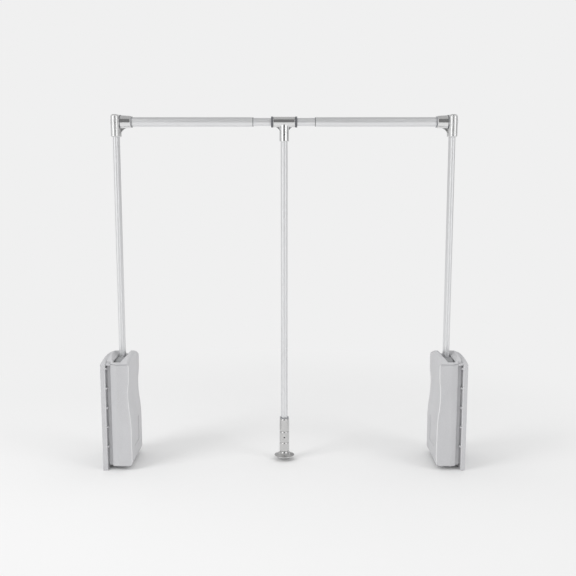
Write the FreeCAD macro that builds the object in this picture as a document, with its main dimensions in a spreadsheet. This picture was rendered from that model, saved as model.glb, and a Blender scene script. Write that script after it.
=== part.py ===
"""Pull-down closet rod: two wall housings, two lift arms, a telescopic rail and a pull handle.

Millimetres, +Z up, +X to the right, front towards -Y. The origin lies midway between the
two housings, on the level of their lower edges. Every driving dimension is a cell of the
sheet "Dims"; the right-hand half is modelled and the left-hand half mirrors it.
"""
import FreeCAD, Part
import math
import os
import Sketcher

DRIVING_SIZES = [
    # alias, value in mm or degrees, meaning
    ("half_width", 431, "centre to the cabinet side face of a mounting plate"),
    ("half_depth", 70, "centre to the front or back of a housing"),
    ("plate_thickness", 11, "mounting plate"),
    ("plate_front_top", 257.5, "height of the plate at its front edge"),
    ("plate_back_top", 259, "height of the plate at its back edge"),
    ("plate_arch_radius", 380, "top edge of the plate"),
    ("plate_edge_round", 1.5, "edges of the plate"),
    ("screw_rows", 192, "cabinet screws, upper row above lower row"),
    ("screw_columns", 96, "cabinet screws, front column to back column"),
    ("screw_low_row", 34, "height of the lower cabinet screws"),
    ("cabinet_screw_hole", 5, "hole diameter"),
    ("cabinet_screw_sink", 10, "counterbore diameter"),
    ("rim_gap", 3, "shadow gap between the plate and the cover rim"),
    ("rim_arch_radius", 160, "top of the step behind the cover rim"),
    ("rim_tab_low", 56, "underside of the lowest bridge across the shadow gap"),
    ("rim_tab_pitch", 47.3, "bridge to bridge"),
    ("rim_tab_height", 4, "one bridge"),
    ("cover_bottom", 10, "underside of the cover"),
    ("cover_front_top", 259, "top of the cover at its front edge"),
    ("cover_back_top", 257, "top of the cover at its back edge"),
    ("cover_arch_radius", 170.8, "crown of the cover, front to back"),
    ("cover_wall", 2.5, "moulded wall"),
    ("cover_back_round", 12, "upright edge at the back of the inner face"),
    ("cover_bottom_round", 10, "lower edge of the inner face and the back"),
    ("cover_front_round", 2.5, "front edge of the inner face"),
    ("cover_top_round", 8, "crown to inner face"),
    ("cover_foot", 361, "inner face of the cover near its foot"),
    ("cover_waist", 367, "inner face at the waist"),
    ("cover_shoulder", 364, "inner face near the top"),
    ("foot_height", 95, "where the foot starts to curve into the waist"),
    ("waist_height", 185, "narrowest level"),
    ("shoulder_height", 230, "where the waist has curved back out"),
    ("bevel_start", 394, "front band to bevel"),
    ("bevel_end", 408, "bevel to the recessed outer edge"),
    ("bevel_fall", 5.5, "how far the bevel falls back"),
    ("ledge_fall", 12, "how far the recessed outer edge lies back"),
    ("channel_inner", 383.5, "opening in the channel floor, side nearest the centre"),
    ("channel_outer", 403.5, "opening in the channel floor, outer side"),
    ("channel_half", 7.3, "half width of the channel floor"),
    ("channel_floor", 260.5, "arm channel floor, level with the front lip"),
    ("channel_back", 29, "back end of the opening in the channel floor"),
    ("channel_lip", 56, "front end of the opening, in front of centre"),
    ("arm_x", 393.5, "centre plane of an arm"),
    ("arm_back", 10, "arm centre line behind the housing centre"),
    ("arm_width", 13, "flat oval arm tube, across"),
    ("arm_depth", 28, "flat oval arm tube, front to back"),
    ("arm_wall", 1.5, "arm tube wall"),
    ("arm_seat", 261, "lower end of the arm tube"),
    ("arm_top", 825, "upper end of the arm tube"),
    ("pivot_front", 24, "pivot in front of the housing centre"),
    ("pivot_height", 238, "height of the pivot"),
    ("shaft_radius", 5, "pivot shaft"),
    ("shaft_boss_radius", 9, "bosses that hold the ends of the pivot shaft"),
    ("running_gap", 0.05, "radial play of a shaft in its bush"),
    ("bush_radius", 6.5, "outside of a pivot bush"),
    ("bush_flange", 0.5, "flange thickness"),
    ("hub_radius", 22, "round nose of the arm bracket"),
    ("crank_length", 18, "pivot to crank pin"),
    ("crank_angle", 42.5, "crank pin above level with the arm up"),
    ("crank_thickness", 3.5, "crank cheek of the bracket"),
    ("crank_pin_radius", 2.5, "crank pin"),
    ("roller_radius", 5, "roller on the crank pin"),
    ("strut_x", 410, "centre line of the gas spring"),
    ("strut_front", 36, "gas spring in front of the housing centre"),
    ("strut_rod_radius", 4, "gas spring rod"),
    ("strut_body_radius", 9, "gas spring cylinder"),
    ("strut_foot", 40, "lower end of the gas spring"),
    ("strut_top", 200, "upper end of the gas spring cylinder"),
    ("rail_height", 820, "rail axis"),
    ("rail_radius", 11, "outer rail tube"),
    ("rail_wall", 1.2, "rail tube walls"),
    ("slider_radius", 9.3, "inner rail tube"),
    ("slider_half", 270, "centre to the end of the inner rail tube"),
    ("rail_inner_end", 73.5, "centre to the mouth of an outer rail tube"),
    ("rail_outer_end", 380, "centre to the far end of an outer rail tube"),
    ("connector_low", 786, "underside of the corner connector"),
    ("connector_high", 837, "top of the corner connector"),
    ("connector_width", 20, "sleeve across"),
    ("connector_depth", 40, "sleeve front to back"),
    ("socket_mouth", 357.5, "centre to the mouth of the rail socket"),
    ("socket_mouth_radius", 14, "rail socket at its mouth"),
    ("socket_root_radius", 16, "rail socket at the sleeve"),
    ("web_radius", 18, "concave edge of the web under the socket"),
    ("tee_half", 25.6, "half length of the tee barrel"),
    ("tee_radius", 12.4, "tee barrel"),
    ("tee_wall", 1.6, "tee barrel wall"),
    ("wing_drop", 10, "wings of the tee, below the barrel"),
    ("wing_radius", 18, "concave edge of a wing"),
    ("tee_screw_rise", 16, "screw above the lower end of the stem"),
    ("stem_radius", 10.8, "tee stem"),
    ("stem_low", 775, "lower end of the tee stem"),
    ("collar_width", 4.5, "dark collar beside the tee"),
    ("pull_radius", 8, "pull rod"),
    ("handle_radius", 11.8, "handle barrel"),
    ("handle_top", 104.6, "top of the handle"),
    ("handle_low", 21.4, "where the handle meets its foot"),
    ("handle_first_joint", 44.5, "groove between the lower and the middle barrel"),
    ("handle_second_joint", 72.7, "groove between the middle and the upper barrel"),
    ("handle_screw_rise", 37, "screw above the lower end of the handle"),
    ("foot_radius", 24.5, "flared foot of the handle"),
    ("floor_gap", 2, "handle foot above the floor"),
]

doc = FreeCAD.newDocument("ClosetLift")
sheet = doc.addObject("Spreadsheet::Sheet", "Dims")


class Size:
    """A number in mm or degrees together with the sheet formula that gives it."""

    def __init__(self, number, formula):
        self.number = float(number)
        self.formula = formula

    def __add__(self, other):
        other = as_size(other)
        return Size(self.number + other.number, f"({self.formula} + {other.formula})")

    def __sub__(self, other):
        other = as_size(other)
        return Size(self.number - other.number, f"({self.formula} - {other.formula})")

    def __mul__(self, other):
        other = as_size(other)
        return Size(self.number * other.number, f"({self.formula} * {other.formula})")

    def __truediv__(self, other):
        other = as_size(other)
        return Size(self.number / other.number, f"({self.formula} / {other.formula})")

    def __neg__(self):
        return Size(-self.number, f"(0 - {self.formula})")

    def __radd__(self, other):
        return as_size(other) + self

    def __rsub__(self, other):
        return as_size(other) - self

    def __rmul__(self, other):
        return as_size(other) * self


def as_size(value):
    """A plain number as a Size; a Size as it is."""
    if isinstance(value, Size):
        return value
    return Size(value, repr(float(value)))


def sine(angle):
    """Sine of a Size in degrees."""
    return Size(math.sin(math.radians(angle.number)), f"sin({angle.formula} * 1 deg)")


def cosine(angle):
    """Cosine of a Size in degrees."""
    return Size(math.cos(math.radians(angle.number)), f"cos({angle.formula} * 1 deg)")


def fill_sheet():
    """Write the driving sizes into the sheet and give them back by alias."""
    sizes = {}
    for row, (alias, number, meaning) in enumerate(DRIVING_SIZES, start=1):
        sheet.set(f"A{row}", meaning)
        sheet.set(f"B{row}", str(number))
        sheet.setAlias(f"B{row}", alias)
        sizes[alias] = Size(number, f"Dims.{alias}")
    doc.recompute()
    return sizes


D = fill_sheet()
PIECES = []


# ---------------------------------------------------------------- outlines
def corner(x, y):
    """An outline point reached by a straight line."""
    return ("line", as_size(x), as_size(y))


def curve(x, y, radius, turn):
    """An outline point reached by an arc; turn is +1 anticlockwise, -1 clockwise."""
    return ("arc", as_size(x), as_size(y), as_size(radius), turn)


def circle(x, y, radius):
    """A full circle."""
    return ("circle", as_size(x), as_size(y), as_size(radius))


def box_outline(x_low, y_low, x_high, y_high):
    """A rectangle, anticlockwise."""
    return [corner(x_low, y_low), corner(x_high, y_low), corner(x_high, y_high), corner(x_low, y_high)]


def round_box(x, y, width, height, radius):
    """A rectangle about a centre with four rounded corners."""
    x, y, radius = as_size(x), as_size(y), as_size(radius)
    left, right = x - as_size(width) / 2, x + as_size(width) / 2
    low, high = y - as_size(height) / 2, y + as_size(height) / 2
    return [
        corner(right - radius, low), curve(right, low + radius, radius, 1),
        corner(right, high - radius), curve(right - radius, high, radius, 1),
        corner(left + radius, high), curve(left, high - radius, radius, 1),
        corner(left, low + radius), curve(left + radius, low, radius, 1),
    ]


def arc_edge(start, end, radius, turn):
    """The minor arc from start to end, with its centre left of the way for turn +1."""
    middle = (start + end) * 0.5
    way = end - start
    reach = math.sqrt(max(radius ** 2 - (way.Length / 2) ** 2, 0))
    side = FreeCAD.Vector(-way.y, way.x, 0).normalize()
    centre = middle + side * reach * turn
    top = centre + (middle - centre).normalize() * radius if reach > 1e-6 else middle - side * radius * turn
    return Part.Arc(start, top, end)


def fix(sketch, kind, geometry, point, size):
    """Tie one coordinate or radius of the sketch to its formula."""
    if kind == "Radius":
        index = sketch.addConstraint(Sketcher.Constraint("Radius", geometry, size.number))
    elif size.formula == "0.0":
        axis = -2 if kind == "DistanceX" else -1
        sketch.addConstraint(Sketcher.Constraint("PointOnObject", geometry, point, axis))
        return
    else:
        index = sketch.addConstraint(Sketcher.Constraint(kind, -1, 1, geometry, point, size.number))
    name = f"size_{index}"
    sketch.renameConstraint(index, name)
    sketch.setExpression("Constraints." + name, size.formula)


def draw(sketch, outline):
    """Draw one closed outline, or a circle, with every point tied to its formula."""
    if outline[0] == "circle":
        _, x, y, radius = outline
        centre = FreeCAD.Vector(x.number, y.number, 0)
        geometry = sketch.addGeometry(Part.Circle(centre, FreeCAD.Vector(0, 0, 1), radius.number))
        fix(sketch, "DistanceX", geometry, 3, x)
        fix(sketch, "DistanceY", geometry, 3, y)
        fix(sketch, "Radius", geometry, 0, radius)
        return
    spots = [FreeCAD.Vector(step[1].number, step[2].number, 0) for step in outline]
    edges, ends, starts = [], [], []
    for index, step in enumerate(outline):
        start, end = spots[index - 1], spots[index]
        if step[0] == "line":
            edges.append(sketch.addGeometry(Part.LineSegment(start, end)))
        else:
            edges.append(sketch.addGeometry(arc_edge(start, end, step[3].number, step[4])))
        # an arc of the sketcher always runs anticlockwise
        clockwise = step[0] == "arc" and step[4] < 0
        starts.append(2 if clockwise else 1)
        ends.append(1 if clockwise else 2)
    for index, step in enumerate(outline):
        after = (index + 1) % len(outline)
        sketch.addConstraint(
            Sketcher.Constraint("Coincident", edges[index], ends[index], edges[after], starts[after]))
        fix(sketch, "DistanceX", edges[index], ends[index], step[1])
        fix(sketch, "DistanceY", edges[index], ends[index], step[2])
        if step[0] == "arc":
            fix(sketch, "Radius", edges[index], 0, step[3])


# ---------------------------------------------------------------- features
class Piece:
    """A PartDesign body whose features are tied to the sheet."""

    def __init__(self, label, x=0, y=0, z=0):
        self.body = doc.addObject("PartDesign::Body", "Body_" + label)
        self.body.Label = label
        for name, size in (("x", x), ("y", y), ("z", z)):
            self.body.setExpression("Placement.Base." + name, as_size(size).formula)

    def sketch(self, plane, outlines, height=0, shift=(0, 0)):
        """A sketch parallel to an origin plane, raised along the normal of that plane."""
        role = plane + "_Plane"
        support = [item for item in self.body.Origin.OriginFeatures if item.Role == role][0]
        sketch = self.body.newObject("Sketcher::SketchObject", "Sketch")
        sketch.AttachmentSupport = [(support, "")]
        sketch.MapMode = "FlatFace"
        sketch.setExpression("AttachmentOffset.Base.x", as_size(shift[0]).formula)
        sketch.setExpression("AttachmentOffset.Base.y", as_size(shift[1]).formula)
        sketch.setExpression("AttachmentOffset.Base.z", as_size(height).formula)
        for outline in outlines:
            draw(sketch, outline)
        return sketch

    def extrude(self, kind, plane, outlines, low, high):
        """Pad or pocket between two levels of the axis across the plane."""
        low, high = as_size(low), as_size(high)
        # the XZ plane faces -Y, so its sketch starts at the far level
        height = -high if plane == "XZ" else low
        sketch = self.sketch(plane, outlines, height)
        feature = self.body.newObject("PartDesign::" + kind, kind)
        feature.Profile = sketch
        feature.Length = high.number - low.number
        feature.setExpression("Length", (high - low).formula)
        feature.Reversed = kind == "Pocket"
        return feature

    def pad(self, plane, outlines, low, high):
        return self.extrude("Pad", plane, outlines, low, high)

    def pocket(self, plane, outlines, low, high):
        """A pocket that has to take material away."""
        doc.recompute()
        before = self.body.Shape.Volume
        feature = self.extrude("Pocket", plane, outlines, low, high)
        doc.recompute()
        if not self.body.Shape.Volume < before:
            raise RuntimeError(f"{self.body.Label}: {feature.Name} cuts nothing")
        return feature

    def turn(self, kind, plane, outlines, axis, height=0, shift=(0, 0)):
        """A Revolution or Groove about an axis of the sketch."""
        sketch = self.sketch(plane, outlines, height, shift)
        feature = self.body.newObject("PartDesign::" + kind, kind)
        feature.Profile = sketch
        feature.ReferenceAxis = (sketch, [axis])
        feature.Angle = 360
        return feature

    def dress(self, kind, size, low, high, aim=None):
        """Fillet or chamfer the edges that lie inside a box and run along aim."""
        doc.recompute()
        base = self.body.Tip
        low = [as_size(value).number for value in low]
        high = [as_size(value).number for value in high]
        names = edges_in(base.Shape, low, high, aim)
        feature = self.body.newObject("PartDesign::" + kind, kind)
        feature.Base = (base, names)
        quantity = "Radius" if kind == "Fillet" else "Size"
        setattr(feature, quantity, as_size(size).number)
        feature.setExpression(quantity, as_size(size).formula)
        return feature


def edges_in(shape, low, high, aim=None):
    """Names of the edges inside a box; aim 'x', 'y' or 'z' keeps those along that axis."""
    slack = 0.01
    names = []
    for index, edge in enumerate(shape.Edges, start=1):
        box = edge.BoundBox
        lows = (box.XMin, box.YMin, box.ZMin)
        highs = (box.XMax, box.YMax, box.ZMax)
        inside = all(lows[i] > low[i] - slack and highs[i] < high[i] + slack for i in range(3))
        spans = [highs[i] - lows[i] for i in range(3)]
        along = aim is None or spans["xyz".index(aim)] > 0.98 * math.hypot(*spans)
        if inside and along:
            names.append(f"Edge{index}")
    if not names:
        raise RuntimeError(f"no edge of the {aim} kind between {low} and {high}")
    return names


def pair(make, name):
    """Make the right-hand piece and mirror it for the left-hand side."""
    right = make("right_" + name)
    left = doc.addObject("Part::Mirroring", "Mirror_" + name)
    left.Label = "left_" + name
    left.Source = right
    left.Normal = (1, 0, 0)
    PIECES.append(right)
    PIECES.append(left)


def single(make, name):
    """Make a piece that lies on the centre plane."""
    PIECES.append(make(name))


# ---------------------------------------------------------------- shared places
PIVOT_Y = -D["pivot_front"]
PIVOT_Z = D["pivot_height"]
PIN_Y = PIVOT_Y - D["crank_length"] * cosine(D["crank_angle"])
PIN_Z = PIVOT_Z + D["crank_length"] * sine(D["crank_angle"])
PLATE_FACE = D["half_width"] - D["plate_thickness"]
RIM_X = PLATE_FACE - D["rim_gap"]
BEVEL_Y = -D["half_depth"] + D["bevel_fall"]
RIM_FRONT = -D["half_depth"] + D["ledge_fall"]
COVER_INSIDE = D["cover_shoulder"] + D["cover_wall"]
RAIL_Y = D["arm_back"]
RAIL_Z = D["rail_height"]
# the arm bracket between the sides of the channel, and the crank outside it
BRACKET_INNER = D["channel_inner"] + 0.8
CRANK_X = D["channel_outer"] - 0.5
CRANK_OUT = CRANK_X + D["crank_thickness"]
CHEEK_RADIUS = D["crank_pin_radius"] + 4.5
BRACKET_UNDERSIDE = PIVOT_Z - 2.4
ROLLER_X = CRANK_OUT + 0.9
ROLLER_WIDTH = 5
# the push fork under the roller, and the nose of the gas spring rod in its boss
FORK_SEAT = PIN_Z - D["roller_radius"] - 0.8
FORK_BOSS_LOW = FORK_SEAT - 15
ROD_NOSE_RADIUS = 2
# cradles and straps of the gas spring
STRUT_Y = -D["strut_front"]
CRADLES = (62, 162)
CRADLE_HEIGHT = 16
STRAP_HEIGHT = 12
STRAP_THICKNESS = 1.5
STRAP_FRONT = STRUT_Y - 16.4
STRAP_BACK = STRUT_Y + 16.4
STRAP_SCREWS = [(STRUT_Y + side, low + CRADLE_HEIGHT / 2) for low in CRADLES for side in (-13.5, 13.5)]
STRAP_SCREW_RADIUS = 1.6
# posts of the cover and the screws in them
POSTS = [(-47, 24), (60, 24), (60, 238)]
POST_RADIUS = 3.5
COVER_SCREW_RADIUS = 1.3
COVER_HEAD_SINK = 3.5
# rubber stop on its shelf, and rivets of the arm
SHELF_TOP = 221
RIVETS = [(D["arm_back"], D["arm_seat"] + rise) for rise in (14, 32)]
RIVET_RADIUS = 2
BOLT_RADIUS = 3
SCREW_RADIUS = 1.75
# well past every piece, for cuts that run right out
PAST_CENTRE, PAST_SIDE, PAST_DEPTH, PAST_TOP = 340, 440, 90, 300


# ---------------------------------------------------------------- housing
def plate_top(low, edge):
    """Outline of the plate between a level and its arched top, edge in from front and back."""
    front, back = -D["half_depth"] + edge, D["half_depth"] - edge
    return [
        corner(front, low), corner(back, low), corner(back, D["plate_back_top"]),
        curve(front, D["plate_front_top"], D["plate_arch_radius"], 1)]


def plate_rim(inset):
    """Outline of the step behind the cover rim, moved in by inset."""
    low_y, high_y = RIM_FRONT + inset, D["half_depth"] - inset
    low_z, high_z = D["cover_bottom"] + inset, D["cover_back_top"] - 5 - inset
    bend = D["cover_bottom_round"] - inset
    return [
        corner(low_y, low_z), corner(high_y - bend, low_z), curve(high_y, low_z + bend, bend, 1),
        corner(high_y, high_z), curve(low_y, high_z + 3, D["rim_arch_radius"], 1)]


def mounting_plate(label):
    """Ribbed base plate: arched top, rim step, cradles, stop shelf, shaft socket, screw holes."""
    piece = Piece(label)
    front = -D["half_depth"]
    piece.pad("YZ", [plate_top(0, 0)], PLATE_FACE, D["half_width"])
    piece.dress("Fillet", D["plate_edge_round"], (PLATE_FACE, front, 0),
                (D["half_width"], front, D["plate_front_top"]))
    # crown strip that closes the shadow gap along the top, cut away where the cover stands
    strip_low = D["plate_front_top"] - 3
    gap = 0.3
    piece.pad("YZ", [plate_top(strip_low, D["bevel_fall"])], D["bevel_end"], PLATE_FACE)
    piece.pocket("XY", [[
        corner(PAST_CENTRE, -PAST_DEPTH), corner(D["bevel_end"] + gap, -PAST_DEPTH),
        corner(D["bevel_end"] + gap, RIM_FRONT - gap), corner(RIM_X + gap, RIM_FRONT - gap),
        corner(RIM_X + gap, PAST_DEPTH), corner(PAST_CENTRE, PAST_DEPTH)]], strip_low - 1, PAST_TOP)
    # step that closes the shadow gap behind the cover rim
    step_wall = 2
    step_inset = D["cover_wall"] + gap
    piece.pad("YZ", [plate_rim(step_inset), plate_rim(step_inset + step_wall)], PLATE_FACE - 6, PLATE_FACE)
    # bridges across the shadow gap
    bridges = []
    for step in range(5):
        low = D["rim_tab_low"] + D["rim_tab_pitch"] * step
        bridges.append(box_outline(front + 2, low, front + 11.5, low + D["rim_tab_height"]))
    piece.pad("YZ", bridges, RIM_X - 0.5, PLATE_FACE)
    # socket for the pivot shaft
    piece.pad("YZ", [circle(PIVOT_Y, PIVOT_Z, D["shaft_boss_radius"])], PLATE_FACE - 7, PLATE_FACE)
    piece.pocket("YZ", [circle(PIVOT_Y, PIVOT_Z, D["shaft_radius"])], PLATE_FACE - 19, PLATE_FACE + 6)
    # two cradles and a foot ledge for the gas spring
    cradles = [box_outline(STRAP_FRONT, low, STRAP_BACK, low + CRADLE_HEIGHT) for low in CRADLES]
    piece.pad("YZ", cradles, D["strut_x"], PLATE_FACE)
    ledge = box_outline(STRUT_Y - 12, D["strut_foot"] - 10, STRUT_Y + 12, D["strut_foot"])
    piece.pad("YZ", [ledge], D["strut_x"] - D["strut_body_radius"], PLATE_FACE)
    piece.pocket("XY", [circle(D["strut_x"], STRUT_Y, D["strut_body_radius"])],
                 D["strut_foot"], D["strut_top"] - 10)
    piece.pocket("YZ", [circle(y, z, STRAP_SCREW_RADIUS) for y, z in STRAP_SCREWS],
                 D["strut_x"], PLATE_FACE + 2)
    # shelf under the rubber stop, with a gusset
    shelf_low = SHELF_TOP - 7
    shelf_inner = D["channel_inner"] + 1
    piece.pad("YZ", [box_outline(5, shelf_low, 27, SHELF_TOP)], shelf_inner, PLATE_FACE)
    gusset = [corner(PLATE_FACE, shelf_low - 36), corner(PLATE_FACE, shelf_low),
              corner(shelf_inner + 5, shelf_low)]
    piece.pad("XZ", [gusset], 13, 19)
    # cabinet screw holes with counterbores for the heads, and holes for the cover screws
    columns = (-D["screw_columns"] / 2, D["screw_columns"] / 2)
    rows = (D["screw_low_row"], D["screw_low_row"] + D["screw_rows"])
    places = [(y, z) for y in columns for z in rows]
    hole = D["cabinet_screw_hole"] / 2
    sink = D["cabinet_screw_sink"] / 2
    cabinet = D["half_width"]
    piece.pocket("YZ", [circle(y, z, hole) for y, z in places], PLATE_FACE, cabinet)
    piece.pocket("YZ", [circle(y, z, sink) for y, z in places], PLATE_FACE, PLATE_FACE + 5)
    piece.pocket("YZ", [circle(y, z, COVER_SCREW_RADIUS + 0.5) for y, z in POSTS], PLATE_FACE, cabinet)
    piece.pocket("YZ", [circle(y, z, 4) for y, z in POSTS], cabinet - COVER_HEAD_SINK, cabinet)
    # weight-saving pockets between ribs on the cabinet side
    cells = [round_box(y, z, 34, 36, 3) for y in (-40, 0, 40) for z in (78, 120, 162)]
    piece.pocket("YZ", cells, cabinet - 7, cabinet)
    return piece.body


def s_bend(x_from, x_to, z_from, z_to):
    """Radius of two equal arcs that shift an upright line sideways."""
    rise, shift = z_to - z_from, x_to - x_from
    return (rise * rise + shift * shift) / (4 * shift)


def cover_form(piece, inset):
    """The waisted, crowned form of the cover, with every wall moved in by inset."""
    inset = as_size(inset)
    front, back = -D["half_depth"] + inset, D["half_depth"] - inset
    # the hollow runs out through the open side that the plate closes
    outside = RIM_X + (1 if inset.number else 0)
    piece.pad("YZ", [[
        corner(front, D["cover_bottom"] + inset), corner(back, D["cover_bottom"] + inset),
        corner(back, D["cover_back_top"] - inset),
        curve(front, D["cover_front_top"] - inset, D["cover_arch_radius"] - inset, 1)]],
        D["cover_foot"] - 5, outside)
    # inner face: foot, waist and shoulder joined by two S bends
    foot, waist, shoulder = (D[name] + inset for name in ("cover_foot", "cover_waist", "cover_shoulder"))
    lower = s_bend(D["cover_foot"], D["cover_waist"], D["foot_height"], D["waist_height"])
    upper = s_bend(D["cover_shoulder"], D["cover_waist"], D["waist_height"], D["shoulder_height"])
    piece.pocket("XZ", [[
        corner(PAST_CENTRE, 0), corner(foot, 0), corner(foot, D["foot_height"]),
        curve((foot + waist) / 2, (D["foot_height"] + D["waist_height"]) / 2, lower, -1),
        curve(waist, D["waist_height"], lower, 1),
        curve((waist + shoulder) / 2, (D["waist_height"] + D["shoulder_height"]) / 2, upper, 1),
        curve(shoulder, D["shoulder_height"], upper, -1),
        corner(shoulder, PAST_TOP), corner(PAST_CENTRE, PAST_TOP)]], -PAST_DEPTH, PAST_DEPTH)
    # bevelled front corner, and the outer edge set back behind it
    ledge_y, ledge_x = RIM_FRONT + inset, D["bevel_end"] - inset
    piece.pocket("XY", [[
        corner(D["bevel_start"], front), corner(D["bevel_start"], -PAST_DEPTH),
        corner(PAST_SIDE, -PAST_DEPTH), corner(PAST_SIDE, ledge_y), corner(ledge_x, ledge_y),
        corner(ledge_x, BEVEL_Y + inset)]], 0, PAST_TOP)
    piece.dress("Fillet", D["cover_back_round"] - inset, (D["cover_foot"] - 1, D["half_depth"] - 10, 0),
                (COVER_INSIDE + 5, D["half_depth"], PAST_TOP), "z")
    # arm channel with sides that lean out at 45 degrees
    lean = math.tan(math.radians(22.5))
    half, floor = D["channel_half"] + inset * lean, D["channel_floor"] - inset
    rise = 14
    middle = D["arm_x"]
    piece.pocket("XZ", [[
        corner(middle - half, floor), corner(middle + half, floor),
        corner(middle + half + rise, floor + rise), corner(middle - half - rise, floor + rise)]],
        -PAST_DEPTH, PAST_DEPTH)
    piece.dress("Fillet", D["cover_top_round"] - inset,
                (D["cover_foot"] - 1, -D["half_depth"] - 1, D["shoulder_height"] + 20),
                (COVER_INSIDE + 6, D["half_depth"] - 8, PAST_TOP))
    piece.dress("Fillet", D["cover_bottom_round"] - inset, (foot, -D["half_depth"], D["cover_bottom"]),
                (foot, D["half_depth"], D["cover_bottom"] + inset), "y")
    # behind the arm the channel is a plain V
    piece.pocket("XZ", [[
        corner(middle, floor - half), corner(middle + half, floor), corner(middle - half, floor)]],
        D["channel_back"], PAST_DEPTH)


def housing_cover(label):
    """Waisted hollow cover with a crowned top, a bevel, an arm channel and inner posts."""
    cavity = Piece(label + "_cavity")
    cover_form(cavity, D["cover_wall"])
    piece = Piece(label)
    cover_form(piece, 0)
    # the front edge of the inner face, from the bottom round up to the crown round
    foot, front = D["cover_foot"], -D["half_depth"]
    piece.dress("Fillet", D["cover_front_round"], (foot - 1, front - 0.5, D["cover_bottom"] + 1),
                (D["cover_waist"] + 1, front + 0.5, D["cover_front_top"] + 5))
    doc.recompute()
    hollow = piece.body.newObject("PartDesign::Boolean", "Hollow")
    hollow.Type = "Cut"
    hollow.setObjects([cavity.body])
    doc.recompute()
    # opening in the channel floor
    low, high = D["channel_inner"], D["channel_outer"]
    reach = D["channel_lip"] + D["channel_back"]
    opening = round_box((low + high) / 2, D["channel_back"] - reach / 2, high - low, reach, 3)
    piece.pocket("XY", [opening], D["channel_floor"] - 10, D["channel_floor"] + 4)
    # bearing boss for the pivot shaft, and posts for the cover screws
    piece.pad("YZ", [circle(PIVOT_Y, PIVOT_Z, D["shaft_boss_radius"])], COVER_INSIDE - 1, low - 1)
    piece.pocket("YZ", [circle(PIVOT_Y, PIVOT_Z, D["shaft_radius"])], COVER_INSIDE + 1, low)
    for y, z in POSTS:
        wall = foot + 1 if z < D["foot_height"].number else COVER_INSIDE - 0.1
        piece.pad("YZ", [circle(y, z, POST_RADIUS)], wall, RIM_X)
    piece.pocket("YZ", [circle(y, z, COVER_SCREW_RADIUS) for y, z in POSTS], RIM_X - 20, RIM_X)
    # shallow panel on the inner face
    piece.pocket("YZ", [round_box(-7.5, 79, 61, 62, 5)], foot - 1, foot + 1)
    # shadow line under the front lip, along the band and the bevel
    groove = 1.6
    piece.pocket("XY", [[
        corner(foot - 1, front - 1), corner(D["bevel_start"], front - 1),
        corner(D["bevel_end"], BEVEL_Y - 1), corner(D["bevel_end"], BEVEL_Y + groove),
        corner(D["bevel_start"], front + groove), corner(foot - 1, front + groove)]],
        D["cover_front_top"] - 3, D["cover_front_top"] - 0.9)
    return piece.body


def cover_screws(label):
    """Three self-tapping screws that hold the cover from the cabinet side."""
    piece = Piece(label)
    head = D["half_width"] - COVER_HEAD_SINK + 0.1
    head_height, slot_depth = 2.4, 1
    piece.pad("YZ", [circle(y, z, COVER_SCREW_RADIUS) for y, z in POSTS], RIM_X - 18, head)
    piece.pad("YZ", [circle(y, z, 3.4) for y, z in POSTS], head, head + head_height)
    slots = [box_outline(y - 2.4, z - 0.4, y + 2.4, z + 0.4) for y, z in POSTS]
    piece.pocket("YZ", slots, head + head_height - slot_depth, head + head_height)
    return piece.body


def pivot_shaft(label):
    """Steel shaft that the arm bracket turns on, chamfered at both ends."""
    piece = Piece(label)
    radius, end = D["shaft_radius"], PLATE_FACE + 5
    piece.pad("YZ", [circle(PIVOT_Y, PIVOT_Z, radius)], COVER_INSIDE + 1.5, end)
    piece.dress("Chamfer", 0.8, (COVER_INSIDE, PIVOT_Y - radius, PIVOT_Z - radius),
                (end, PIVOT_Y + radius, PIVOT_Z + radius))
    return piece.body


def pivot_bushes(label):
    """Two flanged plastic bushes pressed into the hub of the arm bracket."""
    piece = Piece(label)
    low, high = BRACKET_INNER, CRANK_OUT
    bore = D["shaft_radius"] + D["running_gap"]
    middle, parting, thick = (low + high) / 2, 2, D["bush_flange"]
    spans = ((low, middle - parting, low - thick), (middle + parting, high, high))
    for start, end, flange in spans:
        piece.pad("YZ", [circle(PIVOT_Y, PIVOT_Z, D["bush_radius"]),
                         circle(PIVOT_Y, PIVOT_Z, bore)], start, end)
        piece.pad("YZ", [circle(PIVOT_Y, PIVOT_Z, D["bush_radius"] + 1.7),
                         circle(PIVOT_Y, PIVOT_Z, bore)], flange, flange + thick)
    return piece.body


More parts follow.
